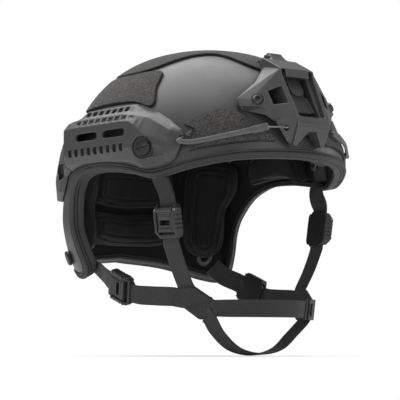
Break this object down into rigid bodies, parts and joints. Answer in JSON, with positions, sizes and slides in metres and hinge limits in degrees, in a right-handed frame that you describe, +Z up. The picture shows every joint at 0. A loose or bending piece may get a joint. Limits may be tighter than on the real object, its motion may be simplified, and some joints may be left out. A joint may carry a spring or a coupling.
{
  "type": "combat helmet",
  "caption": "High-cut combat helmet with side rails, a front mounting shroud, loop panels, inner pads and a chin strap harness with adjusters.",
  "frame": {"origin": "middle of the head opening, in the middle plane, at the height of the brow edge of the shell", "axes": "+Z up along the wearer, -Y to the front of the helmet, -X to the wearer's right"},
  "size_m": [0.248, 0.2974, 0.2835],
  "materials": {
    "shell_paint": "matt dark grey coating with a fine grain on a moulded composite",
    "rubber_trim": "matt black-grey rubber",
    "loop_fabric": "dense loop pile, dark grey with an olive cast",
    "moulded_grey": "matt moulded plastic, dark grey",
    "shroud_plastic": "matt moulded plastic, dark grey",
    "insert_plastic": "matt dark plastic",
    "black_steel": "black coated steel with worn bright edges",
    "bright_steel": "plain steel",
    "elastic_rubber": "matt elastic rubber",
    "pad_fabric": "black brushed fabric with ribs",
    "hook_tape": "hook tape",
    "webbing": "dark grey woven webbing",
    "black_plastic": "matt black moulded plastic",
    "lever_plastic": "matt dark plastic"
  },
  "bodies": {
    "helmet": {"shell": "shell_paint", "edge_trim": "rubber_trim", "crown_loop_panel": "loop_fabric", "side_loop_panel_right": "loop_fabric", "side_loop_panel_left": "loop_fabric", "front_loop_panel_right": "loop_fabric", "front_loop_panel_left": "loop_fabric", "rear_loop_panel": "loop_fabric", "rail_right": "moulded_grey", "rail_left": "moulded_grey", "rail_arm_right": "moulded_grey", "rail_arm_left": "moulded_grey", "rear_bridge": "moulded_grey", "rail_front_screws": "black_steel", "rail_rear_screws": "black_steel", "nape_screws": "black_steel", "inner_nuts": "black_steel", "shroud": "shroud_plastic", "shroud_insert": "insert_plastic", "shroud_screws": "black_steel", "lanyard_right": "elastic_rubber", "lanyard_left": "elastic_rubber", "lanyard_hook_right": "black_steel", "lanyard_hook_left": "black_steel", "brow_pad": "pad_fabric", "crown_pad": "pad_fabric", "side_pad_right": "pad_fabric", "side_pad_left": "pad_fabric", "rear_side_pad_right": "pad_fabric", "rear_side_pad_left": "pad_fabric", "rear_pad_upper": "pad_fabric", "rear_pad_lower": "pad_fabric", "hook_discs": "hook_tape", "front_anchors": "black_steel", "rear_anchors": "black_steel", "strap_front_upper_right": "webbing", "strap_front_upper_left": "webbing", "strap_front_lower_right": "webbing", "strap_front_lower_left": "webbing", "strap_rear_upper_right": "webbing", "strap_rear_upper_left": "webbing", "strap_rear_lower_right": "webbing", "strap_rear_lower_left": "webbing", "junction_patch_right": "webbing", "junction_patch_left": "webbing", "chin_strap": "webbing", "under_chin_strap": "webbing", "adjuster_front_right": "black_plastic", "adjuster_front_left": "black_plastic", "adjuster_rear_right": "black_plastic", "adjuster_rear_left": "black_plastic", "lever_pins": "bright_steel", "buckle_socket": "black_plastic", "buckle_plug": "black_plastic"},
    "lever_front_right_body": {"lever_front_right": "lever_plastic"},
    "lever_front_left_body": {"lever_front_left": "lever_plastic"},
    "lever_rear_right_body": {"lever_rear_right": "lever_plastic"},
    "lever_rear_left_body": {"lever_rear_left": "lever_plastic"},
    "buckle_button_body": {"buckle_button": "black_plastic"}
  },
  "joints": [
    {"name": "lever_front_right_hinge", "type": "hinge", "parent": "helmet", "child": "lever_front_right_body", "pos_m": [-0.09613, -0.05915, -0.04811], "axis": [-0.0811, 0.9967, 0.0086], "range_deg": [0, 75]},
    {"name": "lever_front_left_hinge", "type": "hinge", "parent": "helmet", "child": "lever_front_left_body", "pos_m": [0.09613, -0.05915, -0.04811], "axis": [-0.0811, -0.9967, -0.0086], "range_deg": [0, 75]},
    {"name": "lever_rear_right_hinge", "type": "hinge", "parent": "helmet", "child": "lever_rear_right_body", "pos_m": [-0.08359, 0.03356, -0.11035], "axis": [0.2232, 0.3581, -0.9066], "range_deg": [0, 75]},
    {"name": "lever_rear_left_hinge", "type": "hinge", "parent": "helmet", "child": "lever_rear_left_body", "pos_m": [0.08359, 0.03356, -0.11035], "axis": [0.2232, -0.3581, 0.9066], "range_deg": [0, 75]},
    {"name": "buckle_button_press", "type": "slide", "parent": "helmet", "child": "buckle_button_body", "axis": [-0.4429, 0.8889, 0.117], "range_m": [0, 0.0015], "stiffness_N_per_m": 300}
  ]
}
